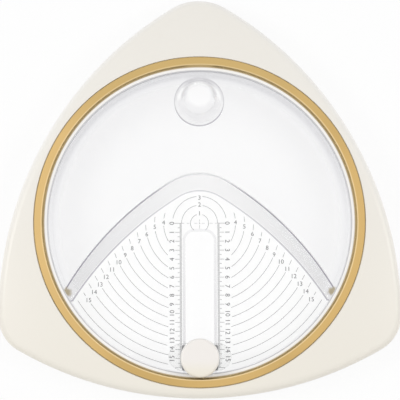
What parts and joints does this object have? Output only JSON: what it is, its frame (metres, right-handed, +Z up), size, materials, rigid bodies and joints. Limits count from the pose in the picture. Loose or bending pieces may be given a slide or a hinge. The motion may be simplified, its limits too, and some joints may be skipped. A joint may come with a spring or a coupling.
{
  "type": "circle cutter",
  "caption": "Circle cutter for paper: a rounded triangular frame holds a clear turning disc whose scale slot carries a sliding blade carriage under a press knob.",
  "frame": {"origin": "on the table under the centre of the whole tool's box; the disc's axis is vertical, 13.35 mm from it towards -Y", "axes": "+Z up, +Y towards the frame corner beside the finger knob, -Y towards the press knob at rest"},
  "size_m": [0.2218, 0.2208, 0.033],
  "materials": {
    "ivory_plastic": "satin moulded",
    "gold_trim": "satin gold",
    "clear_plastic": "clear, polished",
    "cream_plastic": "satin moulded",
    "holder_plastic": "dark moulded",
    "foot_rubber": "matt",
    "plated_steel": "bright plated",
    "spring_steel": "plain spring steel",
    "printed_ink": "printed scale",
    "blade_steel": "ground"
  },
  "bodies": {
    "frame": {"frame_shell": "ivory_plastic", "base_plate": "ivory_plastic", "trim_ring": "gold_trim", "foot_top": "foot_rubber", "foot_left": "foot_rubber", "foot_right": "foot_rubber", "base_screws": "plated_steel"},
    "disc": {"clear_disc": "clear_plastic"},
    "carriage": {"carriage_plate": "clear_plastic", "carriage_shoe": "clear_plastic", "carriage_screws": "plated_steel", "detent_spring": "spring_steel"},
    "press": {"press_knob": "cream_plastic", "plunger": "cream_plastic", "blade_holder": "holder_plastic", "cutting_blade": "blade_steel", "return_spring": "spring_steel"}
  },
  "joints": [
    {"name": "disc_spin", "type": "hinge", "parent": "frame", "child": "disc", "pos_m": [0, -0.01335, 0.012], "axis": [0, 0, 1], "continuous": true},
    {"name": "carriage_slide", "type": "slide", "parent": "disc", "child": "carriage", "axis": [0, 1, 0], "range_m": [0, 0.0635]},
    {"name": "blade_press", "type": "slide", "parent": "carriage", "child": "press", "axis": [0, 0, -1], "range_m": [0, 0.0024], "stiffness_N_per_m": 500, "springref_m": -0.004, "deforming": ["return_spring"]}
  ]
}
